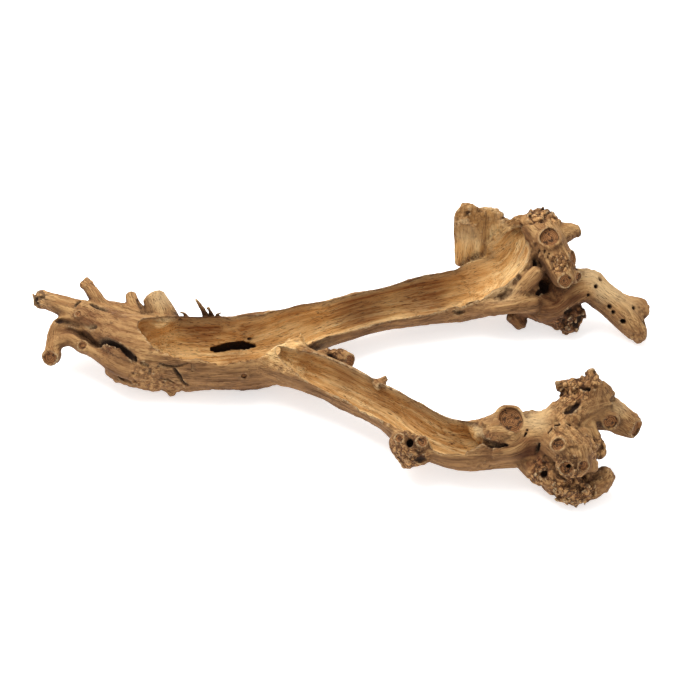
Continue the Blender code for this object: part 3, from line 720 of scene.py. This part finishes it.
def dry_root():
    wood, solid, sound = grow_wood()
    points, faces = wood.surface()
    mesh = mesh_from("dry_root", points, faces)
    points = points_of(mesh)
    points += normals_of(mesh) * relief(points, grain(points))[:, None]
    points[:, 2] = np.maximum(points[:, 2], 0.0)
    mesh.vertices.foreach_set("co", (points * MM).astype(np.float32).ravel())
    mesh.update()
    piece = bpy.data.objects.new("dry_root", mesh)
    bpy.context.scene.collection.objects.link(piece)
    thin = piece.modifiers.new("thin", "DECIMATE")
    thin.ratio = min(1.0, SURFACE_TRIANGLES / (2 * len(faces)))
    graph = bpy.context.evaluated_depsgraph_get()
    thinned = bpy.data.meshes.new_from_object(piece.evaluated_get(graph))
    piece.modifiers.clear()
    mesh = mesh_from("dry_root", *one_skin(points_of(thinned), triangles_of(thinned)))
    piece.data = mesh
    mesh.shade_smooth()

    points, normals = points_of(mesh), normals_of(mesh)
    places = grain(points)
    give(mesh, "grain_a", places[0])
    give(mesh, "grain_b", places[1])
    give(mesh, "grain_share", places[2])
    depth = -sample(solid, points)
    cleft = -sample(sound, points)
    heart = smoothstep(1.5, 7.0, depth)
    for x, y, z, radius in PEELED:
        heart = np.maximum(heart, smoothstep(radius * 1.2, radius * 0.7, away(points, x, y, z)))
    give(mesh, "heart", heart)
    give(mesh, "rim", smoothstep(0.8, 2.5, depth) * smoothstep(8.0, 3.5, depth))
    # Painted shade: how deep a place lies inside a carved cleft or hole.
    give(mesh, "hollow", smoothstep(1.5, 4.5, cleft))
    give(mesh, "stain_and_shading", stained_or_shaded(points))
    give(mesh, "mottled", smoothstep(*MOTTLED_REACH, away(points, *MOTTLED_SLAB)))
    # Painted light: the more a place faces up, the paler its bark side is painted, as if lit from above.
    give(mesh, "painted_top_light", smoothstep(0.0, 0.85, normals[:, 2]))
    give(mesh, "gnarled", smoothstep(0.6, 3.0, gnarled(points)))
    # Painted shade: how much wood stands in front of each place, darkening it as occlusion would.
    occlusion_shade = sum(np.clip(1.0 - sample(wood.field, points + normals * d) / d, 0.0, 1.0) for d in OCCLUSION_PROBES)
    give(mesh, "occlusion_shade", smoothstep(0.15, 1.7, occlusion_shade))
    # Painted shade: the more sharply the surface dips inward, the darker it is painted.
    give(mesh, "crease_shade", smoothstep(0.1, 0.45, bulge(mesh, points, -normals)))
    give(mesh, "crest", smoothstep(0.08, 0.4, bulge(mesh, points, normals)))
    face = np.zeros(len(points))
    ring = np.zeros(len(points))
    for x, y, z, dx, dy, dz, radius in SCARS.values():
        gap = bent(points) - np.array((x, y, z))
        way = np.array((dx, dy, dz)) / np.linalg.norm((dx, dy, dz))
        u = gap @ way
        v = np.sqrt(np.maximum(np.sum(gap * gap, axis=1) - u * u, 0.0))
        on = smoothstep(0.95, 0.8, v / radius) * (np.abs(u) < radius * 0.4)
        ring = np.where(on > face, v, ring)
        face = np.maximum(face, on)
    give(mesh, "end_grain", face)
    give(mesh, "ring", ring)
    return piece


# ---- materials


def linear(colour):
    """An sRGB hex colour as linear red, green, blue and alpha."""
    parts = [int(colour[i:i + 2], 16) / 255.0 for i in (1, 3, 5)]
    return (*[p / 12.92 if p <= 0.04045 else ((p + 0.055) / 1.055) ** 2.4 for p in parts], 1.0)


def add(tree, kind, settings=None, **links):
    """Adds a node. Settings name its properties or sockets; links name its sockets and their feeds."""
    node = tree.nodes.new("ShaderNode" + kind)
    for name, value in (settings or {}).items():
        if isinstance(name, int) or name in node.inputs:
            node.inputs[name].default_value = value
        else:
            setattr(node, name, value)
    for name, source in links.items():
        socket = node.inputs[int(name[1:])] if name[0] == "i" and name[1:].isdigit() else node.inputs[name]
        tree.links.new(source, socket)
    return node


# What dry_root gives each point of the mesh for the material to read.
PAINTED = ("grain_a", "grain_b", "grain_share", "heart", "rim", "hollow", "stain_and_shading", "mottled", "painted_top_light",
           "gnarled", "occlusion_shade", "crease_shade", "crest", "end_grain", "ring")


def weathered_wood():
    """Bare root wood, blasted clean and dried: matt, with open fibres. The rotted heart is golden and
    streaked, the old bark side has greyed, and broken rims and crests are straw-pale. Tops are painted
    paler than sides as painted light, and clefts, creases and recesses are painted dark as painted shade."""
    material = bpy.data.materials.new("weathered_root_wood")
    material.use_nodes = True
    tree = material.node_tree
    tree.nodes.clear()

    painted = {name: add(tree, "Attribute", {"attribute_name": name}).outputs for name in PAINTED}

    def streaks(along, across, detail, seed):
        """Noise drawn out along the fibres of both grains, blended by their share."""
        ends = []
        for name in ("grain_a", "grain_b"):
            settings = {"operation": "MULTIPLY", 1: (1 / along, 1 / across, 1 / across)}
            scaled = add(tree, "VectorMath", settings, i0=painted[name]["Vector"])
            settings = {"operation": "ADD", 1: (seed, seed * 2.0, seed * 3.0)}
            moved = add(tree, "VectorMath", settings, i0=scaled.outputs[0])
            noise = add(tree, "TexNoise", {"Scale": 1.0, "Detail": detail, "Roughness": 0.6},
                        Vector=moved.outputs[0])
            ends.append(noise.outputs["Fac"])
        mix = add(tree, "Mix", {"data_type": "FLOAT"}, i0=painted["grain_share"]["Fac"],
                  i2=ends[0], i3=ends[1])
        return mix.outputs[0]

    place = add(tree, "TexCoord")

    def blotches(size, detail, seed):
        """Noise whose blotches are about size millimetres across."""
        moved = add(tree, "VectorMath", {"operation": "ADD", 1: (seed, seed, seed)},
                    i0=place.outputs["Object"])
        settings = {"Scale": 1000.0 / size, "Detail": detail, "Roughness": 0.6}
        noise = add(tree, "TexNoise", settings, Vector=moved.outputs[0])
        return noise.outputs["Fac"]

    def between(value, low, high, to_low=0.0, to_high=1.0):
        settings = {"interpolation_type": "SMOOTHSTEP", 1: low, 2: high, 3: to_low, 4: to_high}
        ramp = add(tree, "MapRange", settings, i0=value)
        return ramp.outputs[0]

    def times(a, b):
        if isinstance(b, float):
            return add(tree, "Math", {"operation": "MULTIPLY", 1: b}, i0=a).outputs[0]
        return add(tree, "Math", {"operation": "MULTIPLY"}, i0=a, i1=b).outputs[0]

    def layer(below, above, share, mode="MIX"):
        mix = add(tree, "Mix", {"data_type": "RGBA", "blend_type": mode})
        for socket, source in ((0, share), (6, below), (7, above)):
            if isinstance(source, str):
                mix.inputs[socket].default_value = linear(source)
            elif isinstance(source, float):
                mix.inputs[socket].default_value = source
            else:
                tree.links.new(source, mix.inputs[socket])
        return mix.outputs[2]

    def mask(name, share=1.0):
        return times(painted[name]["Fac"], share)

    # The cells of the knotty wood, about 9 mm across, their edges shaken out of line.
    wander = add(tree, "TexNoise", {"Scale": 170.0, "Detail": 3.0},
                 Vector=place.outputs["Object"])
    wandered = add(tree, "VectorMath", {"operation": "MULTIPLY_ADD", 1: (0.011, 0.011, 0.011)},
                   i0=wander.outputs["Color"], i2=place.outputs["Object"])
    cells = add(tree, "TexVoronoi", {"feature": "DISTANCE_TO_EDGE", "Scale": 115.0},
                Vector=wandered.outputs[0]).outputs["Distance"]

    broad = streaks(90.0, 7.0, 2.0, 1.3)
    mid = streaks(60.0, 3.5, 2.0, 7.7)
    fine = streaks(28.0, 1.6, 3.0, 5.1)
    hair = streaks(14.0, 0.7, 2.0, 9.7)
    patches = blotches(38.0, 3.0, 0.2)
    specks = blotches(2.2, 2.0, 0.7)
    crumbs = blotches(5.0, 3.0, 1.9)

    stain_and_shading = painted["stain_and_shading"]["Fac"]
    dashes = streaks(9.0, 0.9, 1.0, 3.3)

    heart = layer("#D09C5C", "#F0C88A", between(broad, 0.35, 0.65))
    heart = layer(heart, "#AC763C", times(between(fine, 0.48, 0.68), between(patches, 0.35, 0.62)))
    heart = layer(heart, "#95632F", between(mid, 0.52, 0.68, 0.0, 0.45))
    heart = layer(heart, "#E6CB98", times(between(hair, 0.5, 0.7), between(broad, 0.45, 0.65)))

    # The bark side's colour is painted darker on the sides and paler on the tops, by which way the surface
    # faces: painted light from above.
    sides = layer("#805B36", "#9C7246", between(broad, 0.38, 0.62))
    sides = layer(sides, "#5C3D22", times(between(fine, 0.46, 0.64), between(patches, 0.35, 0.6)))
    lit_tops = layer("#9C7043", "#C09661", between(broad, 0.38, 0.62))
    lit_tops = layer(lit_tops, "#7A532F", times(between(fine, 0.48, 0.66), between(patches, 0.35, 0.62)))
    bark_side = layer(sides, lit_tops, painted["painted_top_light"]["Fac"])
    mottled = layer("#AD7F47", "#E8C793", between(patches, 0.42, 0.58))
    mottled = layer(mottled, "#74491F", between(crumbs, 0.53, 0.64, 0.0, 0.85))
    bark_side = layer(bark_side, mottled, mask("mottled", 0.8))
    knotty = layer("#7C4B24", "#D2A067", between(crumbs, 0.4, 0.6))
    bark_side = layer(bark_side, knotty, times(mask("gnarled"), between(crumbs, 0.3, 0.6, 0.5, 0.95)))

    bark_side = layer(bark_side, "#5C3B1C", between(mid, 0.54, 0.68, 0.0, 0.6))
    # Painted shade: where the wood is gnarled, the cracks between its cells are painted near-black.
    bark_side = layer(bark_side, "#3F220F", times(mask("gnarled"), between(cells, 0.01, 0.11, 0.9, 0.0)))

    wood = layer(bark_side, heart, painted["heart"]["Fac"])
    # Stains and painted shade darken the wood. Below nought it is paled, partly as painted light on shaded
    # places.
    darker = layer(wood, "#8A5A2C", 1.0, "MULTIPLY")
    wood = layer(wood, darker, times(between(stain_and_shading, 0.0, 1.0), between(broad, 0.25, 0.6, 1.0, 0.6)))
    pale = times(between(stain_and_shading, 0.0, -1.0, 0.0, 0.85), between(patches, 0.3, 0.55, 0.5, 1.0))
    wood = layer(wood, "#E4C695", pale)
    wood = layer(wood, "#D2B384", times(mask("rim"), between(fine, 0.3, 0.6, 0.25, 0.7)))
    wood = layer(wood, "#D8BC90", times(mask("crest"), between(specks, 0.35, 0.6, 0.2, 0.65)))
    wood = layer(wood, "#432812", times(between(dashes, 0.57, 0.67), between(patches, 0.35, 0.6, 0.3, 0.8)))
    # Painted occlusion shade in recesses, where wood stands in front of the surface.
    wood = layer(wood, "#4A2E18", times(mask("occlusion_shade"), between(specks, 0.3, 0.65, 0.5, 0.9)))
    # Painted shade in creases and concave places.
    wood = layer(wood, "#3A2210", times(mask("crease_shade"), between(specks, 0.3, 0.6, 0.55, 0.95)))

    wobble = add(tree, "Math", {"operation": "MULTIPLY_ADD", 1: 5.0}, i0=patches,
                 i2=painted["ring"]["Fac"])
    rings = add(tree, "Math", {"operation": "PINGPONG", 1: 0.9}, i0=wobble.outputs[0]).outputs[0]
    end_grain = layer("#6B4325", "#A06D40", between(rings, 0.2, 0.7))
    end_grain = layer(end_grain, "#2E190C", between(crumbs, 0.52, 0.6, 0.0, 0.9))
    wood = layer(wood, end_grain, mask("end_grain", 0.92))
    # Clefts and holes painted near-black: painted shade.
    wood = layer(wood, "#2C1A0C", painted["hollow"]["Fac"])

    knobbly = times(mask("gnarled"), between(cells, 0.0, 0.3, 0.0, 0.7))
    height = fine
    for value, amount in ((hair, 0.5), (specks, 0.35), (knobbly, 1.0), (mid, 0.8)):
        height = add(tree, "Math", {"operation": "MULTIPLY_ADD", 1: amount}, i0=value,
                     i2=height).outputs[0]
    bump = add(tree, "Bump", {"Strength": 1.0, "Distance": 0.0018}, Height=height)
    finish = {"IOR": 1.5, "Specular IOR Level": 0.25, "Metallic": 0.0}
    shader = add(tree, "BsdfPrincipled", finish, Normal=bump.outputs[0])
    tree.links.new(wood, shader.inputs["Base Color"])
    tree.links.new(between(fine, 0.3, 0.7, 0.68, 0.9), shader.inputs["Roughness"])
    add(tree, "OutputMaterial", Surface=shader.outputs[0])
    return material


# ---- the set

TABLE_GLOW = 0.56
SOFTBOX = {"place": (-0.5, 0.55, 1.9), "aim": (0.0, 0.0, 0.0), "size": 1.6, "power": 52.0}
ROOM_LIGHT = 0.68


def opal_table():
    """White opal acrylic lit softly from below, as on a product table: matt, and its shadows stay light."""
    material = bpy.data.materials.new("opal_acrylic_table")
    material.use_nodes = True
    shader = material.node_tree.nodes["Principled BSDF"]
    shader.inputs["Base Color"].default_value = linear("#F4F4F4")
    shader.inputs["Roughness"].default_value = 0.9
    shader.inputs["Specular IOR Level"].default_value = 0.1
    shader.inputs["Emission Color"].default_value = (1.0, 1.0, 1.0, 1.0)
    shader.inputs["Emission Strength"].default_value = TABLE_GLOW
    return material


def floor():
    """The table's top, a hair below the wood's feet."""
    mesh = bpy.data.meshes.new("floor")
    half = 6.0
    drop = -0.0002
    corners = [(-half, -half, drop), (half, -half, drop), (half, half, drop), (-half, half, drop)]
    mesh.from_pydata(corners, [], [(0, 1, 2, 3)])
    obj = bpy.data.objects.new("floor", mesh)
    bpy.context.scene.collection.objects.link(obj)
    mesh.materials.append(opal_table())


def lamp(name, place, aim, size, power):
    light = bpy.data.lights.new(name, "AREA")
    light.shape = "SQUARE"
    light.size = size
    light.energy = power
    obj = bpy.data.objects.new(name, light)
    obj.location = place
    obj.rotation_euler = (Vector(aim) - Vector(place)).to_track_quat("-Z", "Y").to_euler()
    bpy.context.scene.collection.objects.link(obj)


def studio():
    floor()
    lamp("softbox_over", **SOFTBOX)
    world = bpy.data.worlds.new("studio")
    bpy.context.scene.world = world
    world.use_nodes = True
    background = world.node_tree.nodes["Background"]
    background.inputs["Color"].default_value = (1.0, 1.0, 1.0, 1.0)
    background.inputs["Strength"].default_value = ROOM_LIGHT
    bpy.context.scene.view_settings.view_transform = "Standard"


def camera():
    """Looks along +Y from 40 degrees above, 2.6 m off."""
    elevation = math.radians(40.0)
    distance = 2.6
    shown = 0.812  # width of the picture at the target
    target = Vector((0.008, 0.042, 0.030))
    back = Vector((0.0, -math.cos(elevation), math.sin(elevation)))
    data = bpy.data.cameras.new("camera")
    data.sensor_width = 36.0
    data.lens = data.sensor_width * distance / shown
    obj = bpy.data.objects.new("camera", data)
    obj.location = target + back * distance
    obj.rotation_euler = (-back).to_track_quat("-Z", "Y").to_euler()
    bpy.context.scene.collection.objects.link(obj)
    bpy.context.scene.camera = obj


def main():
    piece = dry_root()
    piece.data.materials.append(weathered_wood())
    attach(piece, "root")
    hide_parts(NODE)
    studio()
    camera()


main()
